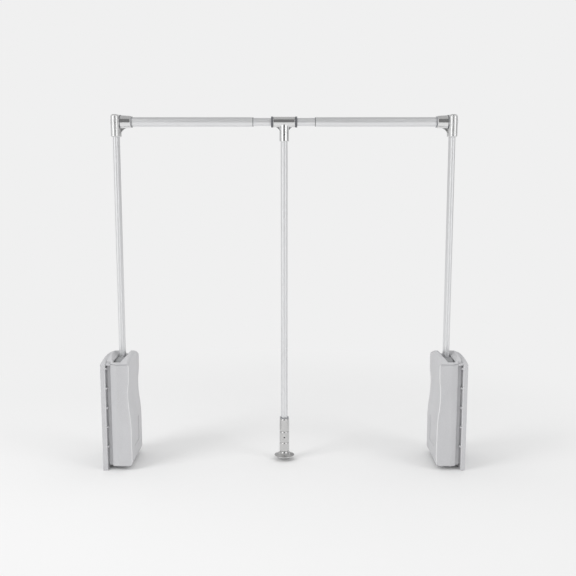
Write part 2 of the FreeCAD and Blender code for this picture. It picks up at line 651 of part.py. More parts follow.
def arm_bracket(label):
    """Cast bracket: round nose on the pivot, seat and spigot for the arm, crank cheek."""
    piece = Piece(label)
    low, high = BRACKET_INNER, CRANK_X
    nose, seat, under = D["hub_radius"], D["arm_seat"], BRACKET_UNDERSIDE
    half_depth = D["arm_depth"] / 2
    rear = D["arm_back"] + half_depth + 1.5
    piece.pad("YZ", [[
        curve(PIVOT_Y, PIVOT_Z - nose, nose, 1), corner(D["arm_back"], under), corner(rear, under),
        corner(rear, seat), corner(D["arm_back"] - half_depth - 4, seat),
        corner(PIVOT_Y, PIVOT_Z + nose), curve(PIVOT_Y - nose, PIVOT_Z, nose, 1)]], low, high)
    piece.dress("Fillet", 3, (low, rear - 0.5, under), (high, rear + 0.5, seat), "x")
    piece.dress("Fillet", 0.8, (low, PIVOT_Y - nose, PIVOT_Z - nose), (high, rear, seat))
    # crank cheek beside the hub
    piece.pad("YZ", [circle(PIVOT_Y, PIVOT_Z, 10)], CRANK_X - 2, CRANK_OUT)
    piece.pad("YZ", [circle(PIN_Y, PIN_Z, CHEEK_RADIUS)], CRANK_X - 2, CRANK_OUT)
    across = sine(D["crank_angle"]) * CHEEK_RADIUS
    along = cosine(D["crank_angle"]) * CHEEK_RADIUS
    piece.pad("YZ", [[
        corner(PIVOT_Y - across, PIVOT_Z - along), corner(PIVOT_Y + across, PIVOT_Z + along),
        corner(PIN_Y + across, PIN_Z + along), corner(PIN_Y - across, PIN_Z - along)]], CRANK_X, CRANK_OUT)
    # spigot that fills the arm tube
    play = 0.1
    wide = D["arm_width"] - 2 * (D["arm_wall"] + play)
    deep = D["arm_depth"] - 2 * (D["arm_wall"] + play)
    spigot_top = seat + 45
    spigot = round_box(D["arm_x"], D["arm_back"], wide, deep, wide / 2 - 0.1)
    piece.pad("XY", [spigot], seat - 1, spigot_top)
    piece.dress("Chamfer", 1.2, (low, -D["half_depth"], spigot_top), (high, D["half_depth"], spigot_top))
    piece.pocket("YZ", [circle(PIVOT_Y, PIVOT_Z, D["bush_radius"])], low - 1, CRANK_OUT + 1)
    piece.pocket("YZ", [circle(PIN_Y, PIN_Z, D["crank_pin_radius"])], CRANK_X - 4, CRANK_OUT + 1)
    piece.pocket("YZ", [circle(y, z, RIVET_RADIUS) for y, z in RIVETS], D["arm_x"] - 2, D["arm_x"] + 10)
    return piece.body


def crank_pin(label):
    """Pin pressed into the crank cheek, with a flat head that keeps the roller on."""
    piece = Piece(label)
    out, head, head_radius = ROLLER_X + ROLLER_WIDTH + 0.2, 1, 3.8
    piece.pad("YZ", [circle(PIN_Y, PIN_Z, D["crank_pin_radius"])], CRANK_X - 3, out)
    piece.pad("YZ", [circle(PIN_Y, PIN_Z, head_radius)], out, out + head)
    piece.dress("Chamfer", 0.4, (out + head, PIN_Y - head_radius, PIN_Z - head_radius),
                (out + head, PIN_Y + head_radius, PIN_Z + head_radius))
    return piece.body


def crank_roller(label):
    """Hard plastic roller that bears on the push fork."""
    piece = Piece(label)
    bore = D["crank_pin_radius"] + D["running_gap"]
    piece.pad("YZ", [circle(PIN_Y, PIN_Z, D["roller_radius"]), circle(PIN_Y, PIN_Z, bore)],
              ROLLER_X, ROLLER_X + ROLLER_WIDTH)
    return piece.body


def push_fork(label):
    """Head of the gas spring rod: a flat seat for the roller between two low horns."""
    piece = Piece(label)
    seat, horn, web = FORK_SEAT, 1.8, 8
    # the roller swings forward of its rest place, to the level of the pivot, and back
    back = PIN_Y + D["roller_radius"] + 0.3
    front = PIVOT_Y - D["crank_length"] - D["roller_radius"] - 0.4
    keel, keel_half = web + 5, 5
    piece.pad("YZ", [[
        corner(front - horn, seat - web), corner(STRUT_Y - keel_half, seat - keel),
        corner(STRUT_Y + keel_half, seat - keel), corner(back + horn, seat - web),
        corner(back + horn, seat + 2), corner(back, seat + 2), corner(back, seat), corner(front, seat),
        corner(front, seat + 3), corner(front - horn, seat + 3)]],
        ROLLER_X + 0.1, ROLLER_X + ROLLER_WIDTH - 0.1)
    piece.pad("XY", [circle(D["strut_x"], STRUT_Y, 3.2)], FORK_BOSS_LOW, seat - 6)
    piece.pocket("XY", [circle(D["strut_x"], STRUT_Y, ROD_NOSE_RADIUS)], FORK_BOSS_LOW, seat - 4)
    return piece.body


def gas_spring_rod(label):
    """Polished rod with a nose that fits the fork and a piston at its lower end."""
    piece = Piece(label, D["strut_x"], STRUT_Y, 0)
    rod, piston, piston_height = D["strut_rod_radius"], D["strut_body_radius"] - 1.6, 8
    low, nose_top = D["strut_foot"] + 45, FORK_SEAT - 4.5
    piece.turn("Revolution", "XZ", [[
        corner(0, low), corner(piston, low), corner(piston, low + piston_height),
        corner(rod, low + piston_height), corner(rod, FORK_BOSS_LOW),
        corner(ROD_NOSE_RADIUS, FORK_BOSS_LOW), corner(ROD_NOSE_RADIUS, nose_top),
        corner(0, nose_top)]], "V_Axis")
    return piece.body


def gas_spring_cylinder(label):
    """Drawn steel cylinder with a rolled neck, a closed foot and a guide for the rod."""
    piece = Piece(label, D["strut_x"], STRUT_Y, 0)
    outside, wall, round_edge, neck = D["strut_body_radius"], 1.5, 2, 0.8
    bore = D["strut_rod_radius"] + D["running_gap"]
    low, high, guide = D["strut_foot"], D["strut_top"], 14
    piece.turn("Revolution", "XZ", [[
        corner(0, low), corner(outside - round_edge, low),
        curve(outside, low + round_edge, round_edge, 1),
        corner(outside, high - 12), corner(outside - neck, high - 11),
        corner(outside - neck, high - 9), corner(outside, high - 8),
        corner(outside, high - round_edge), curve(outside - round_edge, high, round_edge, 1),
        corner(bore, high), corner(bore, high - guide), corner(outside - wall, high - guide),
        corner(outside - wall, low + 4), corner(0, low + 4)]], "V_Axis")
    return piece.body


def cylinder_clamps(label):
    """Two pressed straps that hold the gas spring in the cradles."""
    piece = Piece(label)
    radius, thick = D["strut_body_radius"], STRAP_THICKNESS
    level = D["strut_x"]
    # a little less than the thickness, so that the bend of the strap is smooth
    bend = thick - 0.1
    outline = [
        corner(level, STRAP_FRONT), corner(level, STRUT_Y - radius),
        curve(level - radius, STRUT_Y, radius, -1), curve(level, STRUT_Y + radius, radius, -1),
        corner(level, STRAP_BACK), corner(level - thick, STRAP_BACK),
        corner(level - thick, STRUT_Y + radius + bend),
        curve(level - radius - thick, STRUT_Y, radius + thick, 1),
        curve(level - thick, STRUT_Y - radius - bend, radius + thick, 1),
        corner(level - thick, STRAP_FRONT)]
    for cradle in CRADLES:
        low = cradle + (CRADLE_HEIGHT - STRAP_HEIGHT) / 2
        piece.pad("XY", [outline], low, low + STRAP_HEIGHT)
    piece.pocket("YZ", [circle(y, z, STRAP_SCREW_RADIUS + 0.2) for y, z in STRAP_SCREWS],
                 level - 3, level + 1)
    return piece.body


def clamp_screws(label):
    """Four slotted screws that hold the straps on the cradles."""
    piece = Piece(label)
    face, head = D["strut_x"] - STRAP_THICKNESS, 2
    piece.pad("YZ", [circle(y, z, STRAP_SCREW_RADIUS) for y, z in STRAP_SCREWS], face, face + 11)
    piece.pad("YZ", [circle(y, z, 2.8) for y, z in STRAP_SCREWS], face - head, face)
    slots = [box_outline(y - 2, z - 0.4, y + 2, z + 0.4) for y, z in STRAP_SCREWS]
    piece.pocket("YZ", slots, face - head, face - head + 1)
    return piece.body


def up_stop_buffer(label):
    """Rubber block that the back of the arm bracket rests on."""
    piece = Piece(label)
    top, wide = BRACKET_UNDERSIDE - 0.3, 13
    piece.pad("XY", [round_box(D["arm_x"], 18.2, wide, wide, 2)], SHELF_TOP, top)
    piece.dress("Chamfer", 1, (D["arm_x"] - wide, 0, top), (D["arm_x"] + wide, 30, top))
    return piece.body


# ---------------------------------------------------------------- arm and rail
def arm_tube(label):
    """Flat oval lift arm, drawn tube, with holes for the rivets and the rail bolt."""
    piece = Piece(label)
    wide, deep, wall = D["arm_width"], D["arm_depth"], D["arm_wall"]
    outer = round_box(D["arm_x"], D["arm_back"], wide, deep, wide / 2 - 0.1)
    inner = round_box(D["arm_x"], D["arm_back"], wide - wall * 2, deep - wall * 2, wide / 2 - wall - 0.1)
    piece.pad("XY", [outer, inner], D["arm_seat"], D["arm_top"])
    piece.pocket("YZ", [circle(y, z, RIVET_RADIUS) for y, z in RIVETS], D["arm_x"], D["arm_x"] + wide)
    piece.pocket("YZ", [circle(RAIL_Y, RAIL_Z, BOLT_RADIUS + 0.2)], D["arm_x"] - wide, D["arm_x"] + wide)
    return piece.body


def arm_rivets(label):
    """Two domed rivets that hold the arm on the bracket."""
    piece = Piece(label)
    face, head, head_radius = D["arm_x"] + D["arm_width"] / 2, 1.2, 3.6
    piece.pad("YZ", [circle(y, z, RIVET_RADIUS) for y, z in RIVETS], D["arm_x"] - 1, face)
    piece.pad("YZ", [circle(y, z, head_radius) for y, z in RIVETS], face, face + head)
    piece.dress("Fillet", 0.9, (face + head, 0, D["arm_seat"]), (face + head, 20, D["arm_seat"] + 50))
    return piece.body


def corner_connector(label):
    """Cast corner: upright sleeve over the arm, tapered rail socket, web and rounded top."""
    piece = Piece(label)
    low, high = D["connector_low"], D["connector_high"]
    wide, deep = D["connector_width"], D["connector_depth"]
    inner, outer = D["arm_x"] - wide / 2, D["arm_x"] + wide / 2
    piece.pad("XY", [round_box(D["arm_x"], D["arm_back"], wide, deep, wide / 2 - 0.5)], low, high)
    piece.dress("Fillet", 6, (inner, D["arm_back"] - deep / 2, high), (outer, D["arm_back"] + deep / 2, high))
    # socket: a collar at the sleeve, a concave neck and a straight taper to the rounded mouth
    root, mouth, mouth_x = D["socket_root_radius"], D["socket_mouth_radius"], D["socket_mouth"]
    neck, lip = 6, 1.5
    piece.turn("Revolution", "XZ", [[
        corner(mouth_x, 0), corner(inner + neck, 0), corner(inner + neck, root), corner(inner, root),
        curve(inner - neck, mouth + 1.2, 14, 1), corner(mouth_x + lip, mouth),
        curve(mouth_x, mouth - lip, lip, 1)]], "H_Axis", RAIL_Y, (0, RAIL_Z))
    # web between the sleeve and the underside of the socket
    web_end, web_half = mouth_x + 7, 4
    piece.pad("XZ", [[
        corner(inner + 2, low + 5), corner(inner + 2, RAIL_Z), corner(web_end, RAIL_Z),
        corner(web_end, RAIL_Z - mouth + 1), curve(inner, low + 7, D["web_radius"], -1)]],
        RAIL_Y - web_half, RAIL_Y + web_half)
    # seats of the arm tube, the rail tube and the bolt
    slip = 0.1
    seat = round_box(D["arm_x"], D["arm_back"], D["arm_width"] + slip, D["arm_depth"] + slip,
                     D["arm_width"] / 2 - 0.1)
    piece.pocket("XY", [seat], low - 1, D["arm_top"] + 0.5)
    piece.pocket("YZ", [circle(RAIL_Y, RAIL_Z, D["rail_radius"])], mouth_x - 1, D["rail_outer_end"])
    piece.pocket("YZ", [circle(RAIL_Y, RAIL_Z, BOLT_RADIUS)], D["rail_outer_end"] - 1, outer + 1)
    return piece.body


def rail_bolt(label):
    """Bolt through the sleeve and the arm into the end of the rail, low domed head."""
    piece = Piece(label)
    face, head, head_radius = D["arm_x"] + D["connector_width"] / 2, 2, 7.5
    piece.pad("YZ", [circle(RAIL_Y, RAIL_Z, BOLT_RADIUS)], D["rail_outer_end"] - 16, face)
    piece.pad("YZ", [circle(RAIL_Y, RAIL_Z, head_radius)], face, face + head)
    piece.dress("Fillet", 1.2, (face + head, RAIL_Y - head_radius, RAIL_Z - head_radius),
                (face + head, RAIL_Y + head_radius, RAIL_Z + head_radius))
    return piece.body


def rail_plug(label):
    """Plug in the end of the outer rail tube that takes the bolt."""
    piece = Piece(label)
    end = D["rail_outer_end"]
    piece.pad("YZ", [circle(RAIL_Y, RAIL_Z, D["rail_radius"] - D["rail_wall"])], end - 18, end)
    piece.pocket("YZ", [circle(RAIL_Y, RAIL_Z, BOLT_RADIUS)], end - 19, end + 1)
    return piece.body


def ring_outline(outside, inside):
    """Two circles about the rail axis."""
    return [circle(RAIL_Y, RAIL_Z, outside), circle(RAIL_Y, RAIL_Z, inside)]


def outer_tube(label):
    """Outer rail tube."""
    piece = Piece(label)
    ring = ring_outline(D["rail_radius"], D["rail_radius"] - D["rail_wall"])
    piece.pad("YZ", ring, D["rail_inner_end"], D["rail_outer_end"])
    return piece.body


def socket_ring(label):
    """Dark collar that closes the mouth of the rail socket."""
    piece = Piece(label)
    mouth = D["socket_mouth"]
    piece.pad("YZ", ring_outline(D["socket_mouth_radius"] - 1.2, D["rail_radius"]), mouth - 2.5, mouth)
    return piece.body


def tube_bush(label):
    """Thin glide bush in the mouth of the outer rail tube, with an end lip."""
    piece = Piece(label)
    mouth, bore = D["rail_inner_end"], D["slider_radius"] + D["running_gap"]
    piece.pad("YZ", ring_outline(D["rail_radius"] - D["rail_wall"], bore), mouth, mouth + 25)
    piece.pad("YZ", ring_outline(D["rail_radius"] - 0.2, bore), mouth - 1.2, mouth)
    return piece.body


# ---------------------------------------------------------------- rail centre and handle
def inner_tube(label):
    """Inner rail tube that both outer tubes slide on."""
    piece = Piece(label)
    ring = ring_outline(D["slider_radius"], D["slider_radius"] - D["rail_wall"])
    piece.pad("YZ", ring, -D["slider_half"], D["slider_half"])
    return piece.body


def tee_collars(label):
    """Two dark rings fixed on the inner tube on either side of the tee."""
    piece = Piece(label)
    ring = ring_outline(D["tee_radius"] + 0.3, D["slider_radius"])
    start = D["tee_half"] + 0.3
    piece.pad("YZ", ring, start, start + D["collar_width"])
    piece.pad("YZ", ring, -start - D["collar_width"], -start)
    return piece.body


def tee_bushes(label):
    """Two bushes inside the tee that turn on the inner tube."""
    piece = Piece(label)
    ring = ring_outline(D["tee_radius"] - D["tee_wall"], D["slider_radius"] + D["running_gap"])
    middle_gap = 6
    piece.pad("YZ", ring, middle_gap, D["tee_half"])
    piece.pad("YZ", ring, -D["tee_half"], -middle_gap)
    return piece.body


def tee_casting(label):
    """Barrel that turns on the rail, with a stem for the pull rod and two curved wings."""
    piece = Piece(label)
    half, barrel, stem = D["tee_half"], D["tee_radius"], D["stem_radius"]
    low = D["stem_low"]
    piece.pad("YZ", [circle(RAIL_Y, RAIL_Z, barrel)], -half, half)
    piece.dress("Fillet", 1, (-half, RAIL_Y - barrel, RAIL_Z - barrel),
                (half, RAIL_Y + barrel, RAIL_Z + barrel))
    piece.pad("XY", [circle(0, RAIL_Y, stem)], low, RAIL_Z)
    # wings that run from the ends of the barrel down into the stem
    wing_top, wing_low, wing_half = RAIL_Z - barrel + 2, RAIL_Z - barrel - D["wing_drop"], 3
    reach = half - 1.5
    piece.pad("XZ", [[
        corner(-reach, wing_top), curve(-stem + 1, wing_low, D["wing_radius"], -1),
        corner(stem - 1, wing_low), curve(reach, wing_top, D["wing_radius"], -1)]],
        RAIL_Y - wing_half, RAIL_Y + wing_half)
    piece.dress("Fillet", 1.2, (-stem, RAIL_Y - stem, low), (stem, RAIL_Y + stem, low))
    piece.pocket("YZ", [circle(RAIL_Y, RAIL_Z, barrel - D["tee_wall"])], -half - 1, half + 1)
    piece.pocket("XY", [circle(0, RAIL_Y, D["pull_radius"])], low - 1, RAIL_Z - barrel - 2)
    piece.pocket("XZ", [circle(0, low + D["tee_screw_rise"], SCREW_RADIUS)], RAIL_Y - stem - 4, RAIL_Y - 6)
    return piece.body


def tee_screw(label):
    """Socket screw in the front of the tee stem."""
    piece = Piece(label)
    face, level = RAIL_Y - D["stem_radius"], D["stem_low"] + D["tee_screw_rise"]
    piece.pad("XZ", [circle(0, level, SCREW_RADIUS)], face + 0.2, RAIL_Y - D["pull_radius"])
    piece.pocket("XZ", [circle(0, level, SCREW_RADIUS / 2)], face, face + 1.4)
    return piece.body


def pull_rod(label):
    """Pull rod tube between the tee and the handle."""
    piece = Piece(label)
    ring = [circle(0, RAIL_Y, D["pull_radius"]), circle(0, RAIL_Y, D["pull_radius"] - 1.2)]
    piece.pad("XY", ring, D["handle_low"] + 30, RAIL_Z - D["tee_radius"] - 2.5)
    return piece.body


def handle_ring(label):
    """Dark ring on top of the handle."""
    piece = Piece(label)
    ring = [circle(0, RAIL_Y, D["handle_radius"] - 1), circle(0, RAIL_Y, D["pull_radius"])]
    piece.pad("XY", ring, D["handle_top"], D["handle_top"] + 3)
    return piece.body


def handle_grip(label):
    """Turned handle of three barrels with a bore for the pull rod."""
    piece = Piece(label, 0, RAIL_Y, 0)
    radius, neck = D["handle_radius"], D["handle_radius"] - 0.9
    bore, low, bore_low = D["pull_radius"], D["handle_low"], D["handle_low"] + 28
    joints = [low, D["handle_first_joint"], D["handle_second_joint"], D["handle_top"]]
    profile = [corner(bore, bore_low), corner(0, bore_low), corner(0, low), corner(neck, low)]
    half_groove, shoulder = 0.5, 2.5
    for start, end in zip(joints, joints[1:]):
        profile += [
            corner(neck, start + half_groove), curve(radius, start + shoulder, 4, 1),
            corner(radius, end - shoulder), curve(neck, end - half_groove, 4, 1)]
    profile += [corner(neck, D["handle_top"]), corner(bore, D["handle_top"])]
    piece.turn("Revolution", "XZ", [profile], "V_Axis")
    piece.pocket("XZ", [circle(0, low + D["handle_screw_rise"], SCREW_RADIUS)], -20, 1 - bore)
    return piece.body


def handle_screw(label):
    """Socket screw in the front of the middle barrel."""
    piece = Piece(label)
    face, level = RAIL_Y - D["handle_radius"], D["handle_low"] + D["handle_screw_rise"]
    piece.pad("XZ", [circle(0, level, SCREW_RADIUS)], face + 0.3, RAIL_Y - D["pull_radius"])
    piece.pocket("XZ", [circle(0, level, SCREW_RADIUS / 2)], face, face + 1.5)
    return piece.body


def handle_foot(label):
    """Flared foot, hollow underneath, that the hand pulls on."""
    piece = Piece(label, 0, RAIL_Y, 0)
    neck, wide = D["handle_radius"] - 0.4, D["foot_radius"]
    low, high, hollow = D["floor_gap"], D["handle_low"], 5
    piece.turn("Revolution", "XZ", [[
        corner(0, high), corner(0, low + hollow), corner(wide - 4, low + hollow), corner(wide - 3, low),
        corner(wide - 1, low), curve(wide, low + 1, 1, 1), corner(wide, low + 7),
        curve(wide - 2, low + 9, 2, 1), curve(neck, high - 3, 16, -1), corner(neck, high)]], "V_Axis")
    return piece.body


def build_all():
    """Make every piece."""
    sides = (
        mounting_plate, housing_cover, cover_screws, pivot_shaft, pivot_bushes, arm_bracket,
        crank_pin, crank_roller, push_fork, gas_spring_rod, gas_spring_cylinder, cylinder_clamps,
        clamp_screws, up_stop_buffer, arm_tube, arm_rivets, corner_connector, rail_bolt, rail_plug,
        outer_tube, socket_ring, tube_bush)
    for make in sides:
        pair(make, make.__name__)
    centre = (
        inner_tube, tee_collars, tee_bushes, tee_casting, tee_screw, pull_rod, handle_ring,
        handle_grip, handle_screw, handle_foot)
    for make in centre:
        single(make, make.__name__)


def export_all():
    """Check every object, then write one file for each piece."""
    doc.recompute()
    failed = [o.Name for o in doc.Objects if "Invalid" in o.State or "Error" in o.State]
    if failed:
        raise RuntimeError("failed objects: " + ", ".join(failed))
    for item in PIECES:
        shape = item.Shape
        if shape.isNull() or not shape.isValid():
            raise RuntimeError(item.Label + " has no valid shape")
    os.makedirs("parts", exist_ok=True)
    for item in PIECES:
        item.Shape.exportStep("parts/" + item.Label + ".step")
        solids = len(item.Shape.Solids)
        print(f"{item.Label}: {solids} solid(s), {item.Shape.Volume / 1000:.1f} cm3")


build_all()
export_all()
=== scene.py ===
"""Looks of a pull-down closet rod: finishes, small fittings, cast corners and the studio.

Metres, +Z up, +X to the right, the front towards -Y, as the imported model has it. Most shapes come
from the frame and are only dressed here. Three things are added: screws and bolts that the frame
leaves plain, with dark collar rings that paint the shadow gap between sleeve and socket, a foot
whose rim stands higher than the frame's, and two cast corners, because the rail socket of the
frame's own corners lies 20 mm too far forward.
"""
import math
import bpy
import numpy as np
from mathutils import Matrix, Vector


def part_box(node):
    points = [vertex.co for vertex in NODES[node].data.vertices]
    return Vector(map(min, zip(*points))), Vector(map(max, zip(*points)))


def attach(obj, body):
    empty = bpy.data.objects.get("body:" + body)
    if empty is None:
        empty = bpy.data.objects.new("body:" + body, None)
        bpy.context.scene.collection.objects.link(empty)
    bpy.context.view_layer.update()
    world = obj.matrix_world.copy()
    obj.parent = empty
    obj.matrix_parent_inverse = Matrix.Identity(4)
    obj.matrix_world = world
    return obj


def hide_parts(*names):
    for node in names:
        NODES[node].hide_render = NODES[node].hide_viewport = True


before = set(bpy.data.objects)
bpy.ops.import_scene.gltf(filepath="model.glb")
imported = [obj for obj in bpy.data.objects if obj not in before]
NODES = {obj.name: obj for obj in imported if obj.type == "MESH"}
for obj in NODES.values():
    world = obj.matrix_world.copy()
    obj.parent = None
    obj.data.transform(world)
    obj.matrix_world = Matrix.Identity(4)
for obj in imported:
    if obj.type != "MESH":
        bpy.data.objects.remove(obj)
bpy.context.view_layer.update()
MM = 0.001
SIDES = (("left", -1), ("right", 1))
SHARP_ANGLE = math.radians(32)


# ---------------------------------------------------------------- objects
def new_object(name, data):
    """Object that shows some data, linked into the scene."""
    thing = bpy.data.objects.new(name, data)
    bpy.context.scene.collection.objects.link(thing)
    return thing


def mesh_object(name, corners, faces):
    """Object with a new mesh."""
    mesh = bpy.data.meshes.new(name)
    mesh.from_pydata(corners, [], faces)
    return new_object(name, mesh)


def shade(piece):
    """Smooth shading up to the sharp edges."""
    piece.data.shade_smooth()
    piece.data.set_sharp_from_angle(angle=SHARP_ANGLE)


def put_on(piece, finish):
    """Fill every material slot of a piece with one finish."""
    for slot in piece.material_slots:
        slot.material = finish
    if not piece.material_slots:
        piece.data.materials.append(finish)


# ---------------------------------------------------------------- colours and nodes
def linear(code):
    """Linear colour of an sRGB hex code such as 'C4C5C6'."""
    parts = [int(code[i:i + 2], 16) / 255 for i in (0, 2, 4)]
    return tuple(part / 12.92 if part <= 0.04045 else ((part + 0.055) / 1.055) ** 2.4
                 for part in parts) + (1.0,)


def add(tree, kind, inputs=None, **settings):
    """Add a node, set its settings, and set or link its inputs."""
    node = tree.nodes.new("ShaderNode" + kind)
    for name, value in settings.items():
        setattr(node, name, value)
    for name, value in (inputs or {}).items():
        if isinstance(value, bpy.types.NodeSocket):
            tree.links.new(value, node.inputs[name])
        else:
            node.inputs[name].default_value = value
    return node


def new_material(name):
    """An empty material, its node tree and the place on the object."""
    material = bpy.data.materials.new(name)
    material.use_nodes = True
    tree = material.node_tree
    tree.nodes.clear()
    return material, tree, add(tree, "TexCoord").outputs["Object"]


def finish_material(tree, shader):
    """Send a shader to the material output."""
    add(tree, "OutputMaterial", {"Surface": shader.outputs[0]})


def surface(tree, **inputs):
    """Finish with a principled shader, its inputs named by word, underscores for spaces."""
    named = {key.replace("_", " "): value for key, value in inputs.items()}
    finish_material(tree, add(tree, "BsdfPrincipled", named))


def maths(tree, operation, first, second=0.0):
    """Result of a Math node."""
    return add(tree, "Math", {0: first, 1: second}, operation=operation).outputs[0]


def ramp(tree, value, start, end, low=0.0, high=1.0, kind="LINEAR"):
    """Map start to end onto low to high, level beyond both."""
    return add(tree, "MapRange", {
        "Value": value, "From Min": start, "From Max": end, "To Min": low, "To Max": high},
        interpolation_type=kind).outputs[0]


def between(tree, noise, low, high, spread=0.25):
    """Map the middle of a noise to the range low to high."""
    return ramp(tree, noise, 0.5 - spread, 0.5 + spread, low, high)


def grain(tree, place, size_mm, detail=3.0, roughness=0.5, stretch=(1, 1, 1)):
    """Noise whose lumps are size_mm across, drawn out by stretch along X, Y and Z."""
    mapped = add(tree, "Mapping", {"Vector": place, "Scale": tuple(1 / s for s in stretch)})
    return add(tree, "TexNoise", {
        "Vector": mapped.outputs[0], "Scale": 1 / (size_mm * MM), "Detail": detail,
        "Roughness": roughness}).outputs["Fac"]


def tint(tree, factor, first, second):
    """Blend two colours, each a hex code or a socket, by a factor."""
    first, second = (linear(tone) if isinstance(tone, str) else tone for tone in (first, second))
    return add(tree, "Mix", {0: factor, 6: first, 7: second}, data_type="RGBA").outputs[2]


def two_tone(tree, noise, dark, light, spread=0.25):
    """Colour that follows a noise from dark to light."""
    return tint(tree, between(tree, noise, 0, 1, spread), dark, light)


def bump(tree, height, depth_mm, under=None):
    """Bump of a real depth, on top of another normal if one is given."""
    inputs = {"Height": height, "Strength": 1.0, "Distance": depth_mm * MM}
    if under is not None:
        inputs["Normal"] = under
    return add(tree, "Bump", inputs).outputs[0]


def soft_edge(tree, radius_mm):
    """Normal that rounds sharp edges a little, so that they catch light."""
    return add(tree, "Bevel", {"Radius": radius_mm * MM}, samples=6).outputs[0]


def mix_shaders(tree, factor, first, second):
    """Blend two shader nodes by a factor."""
    return add(tree, "MixShader", {0: factor, 1: first.outputs[0], 2: second.outputs[0]})


# ---------------------------------------------------------------- finishes
def painted_corner_highlight(tree, place):
    """Painted highlight mask: 1 on the front corner of a housing's inner side, which is painted
    pale as if it caught light, 0 elsewhere.

    On that corner the normal's x, its y and the sign of the side multiply to nearly a half: the
    mask rises from 0.25 to 0.47 of that product, and from y = -50 to -54 mm towards the front.
    """
    facing = add(tree, "SeparateXYZ", {0: add(tree, "NewGeometry").outputs["Normal"]}).outputs
    spot = add(tree, "SeparateXYZ", {0: place}).outputs
    corner = maths(tree, "MULTIPLY", facing["X"], facing["Y"])
    corner = maths(tree, "MULTIPLY", corner, maths(tree, "SIGN", spot["X"]))
    front = ramp(tree, spot["Y"], -50 * MM, -54 * MM)
    return maths(tree, "MULTIPLY", ramp(tree, corner, 0.25, 0.47), front)


def moulded_abs():
    """Injection-moulded ABS, mass-coloured silver grey with fine flake, spark-eroded mould.

    The eye sees a satin, faintly pearly grey with a fine even grain and soft flow clouds.
    """
    material, tree, place = new_material("moulded_silver_abs")
    # real grain is about 0.15 mm; it is drawn at 0.9 mm so that it shows
    grit = grain(tree, place, 0.9, 2.0)
    clouds = grain(tree, place, 42, 2.0, 0.5, (1, 1, 2.6))
    flake = grain(tree, place, 1.6, 0.0)
    colour = two_tone(tree, clouds, "B7B7B9", "BFBFC1")
    colour = tint(tree, between(tree, flake, 0, 0.35, 0.2), colour, "CACACC")
    # painted highlight: the front corner of the inner side is painted pale, as if it caught light
    colour = tint(tree, painted_corner_highlight(tree, place), colour, "E2E2E3")
    surface(tree, Base_Color=colour, Metallic=0.0, Roughness=between(tree, grit, 0.42, 0.52),
            IOR=1.53, Normal=bump(tree, grit, 0.035, soft_edge(tree, 0.7)))
    return material


def anodised_tube(axis):
    """Drawn aluminium tube, etched and clear anodised, with faint die lines along its axis.

    The eye sees a soft white-grey metal with long fine streaks and blurred reflections.
    """
    material, tree, place = new_material("satin_anodised_aluminium_along_" + axis)
    # die lines are about 0.2 mm apart; they are drawn at 0.8 mm so that they show
    lines = grain(tree, place, 0.8, 3.0, 0.6, tuple(160 if axis == name else 1 for name in "xyz"))
    etch = grain(tree, place, 1.2, 2.0)
    surface(tree, Base_Color=two_tone(tree, lines, "E6E7E8", "EDEDEE"), Metallic=1.0,
            Roughness=between(tree, lines, 0.44, 0.54),
            Normal=bump(tree, lines, 0.008, bump(tree, etch, 0.006, soft_edge(tree, 0.3))))
    return material


def plated_casting(name, dull=0.0):
    """Zinc die casting, vibratory polished and chrome plated; dull is what brushing adds.

    The eye sees sharp studio reflections that waver slightly over the cast surface.
    """
    material, tree, place = new_material(name)
    ripple = grain(tree, place, 7, 2.0)
    polish = grain(tree, place, 0.9, 2.0)
    surface(tree, Base_Color=two_tone(tree, ripple, "E3E3E3", "EAEAEA"), Metallic=1.0,
            Roughness=between(tree, polish, 0.10 + dull, 0.18 + dull),
            Normal=bump(tree, ripple, 0.05, bump(tree, polish, 0.003, soft_edge(tree, 0.5))))
    return material


def satin_nickel():
    """Turned zinc, brushed round its axis and nickel plated: a warm grey with fine rings."""
    material, tree, place = new_material("satin_nickel_turning")
    rings = grain(tree, place, 0.8, 2.0, 0.5, (14, 14, 1))
    surface(tree, Base_Color=two_tone(tree, rings, "CBCBCB", "D5D4D3"), Metallic=1.0,
            Roughness=between(tree, rings, 0.16, 0.24),
            Normal=bump(tree, rings, 0.006, soft_edge(tree, 0.3)))
    return material


def powder_coat():
    """Cast bracket under grey powder coat: a fine orange peel and a low sheen."""
    material, tree, place = new_material("grey_powder_coat")
    peel = grain(tree, place, 1.4, 1.0)
    clouds = grain(tree, place, 25)
    surface(tree, Base_Color=two_tone(tree, clouds, "8E8F91", "97989A"), Metallic=0.0,
            Roughness=0.48, IOR=1.5, Normal=bump(tree, peel, 0.03, soft_edge(tree, 0.5)))
    return material


def zinc_plate():
    """Pressed or turned steel, bright zinc plated: a bluish grey with a cloudy spangle."""
    material, tree, place = new_material("bright_zinc_plated_steel")
    cells = add(tree, "TexVoronoi", {"Vector": place, "Scale": 1 / (2.2 * MM)})
    spangle = cells.outputs["Distance"]
    surface(tree, Base_Color=tint(tree, spangle, "A9ADB2", "C2C5C9"), Metallic=1.0,
            Roughness=between(tree, spangle, 0.28, 0.42, 0.5),
            Normal=bump(tree, spangle, 0.004, soft_edge(tree, 0.2)))
    return material


def ground_steel():
    """Centreless-ground hard-chromed rod: bright, with the finest rings round it."""
    material, tree, place = new_material("ground_hard_chrome")
    rings = grain(tree, place, 0.5, 2.0, 0.5, (12, 12, 1))
    surface(tree, Base_Color=two_tone(tree, rings, "C9CBCD", "DADBDC"), Metallic=1.0,
            Roughness=between(tree, rings, 0.10, 0.17), Normal=bump(tree, rings, 0.003))
    return material


def black_oxide():
    """Black-coated steel: near black, slightly oily, worn to grey in small specks."""
    material, tree, place = new_material("black_coated_steel")
    specks = grain(tree, place, 1.3, 4.0, 0.7)
    surface(tree, Base_Color=two_tone(tree, specks, "1E1F21", "3A3B3D", 0.15), Metallic=0.6,
            Roughness=between(tree, specks, 0.32, 0.48),
            Normal=bump(tree, specks, 0.006, soft_edge(tree, 0.2)))
    return material


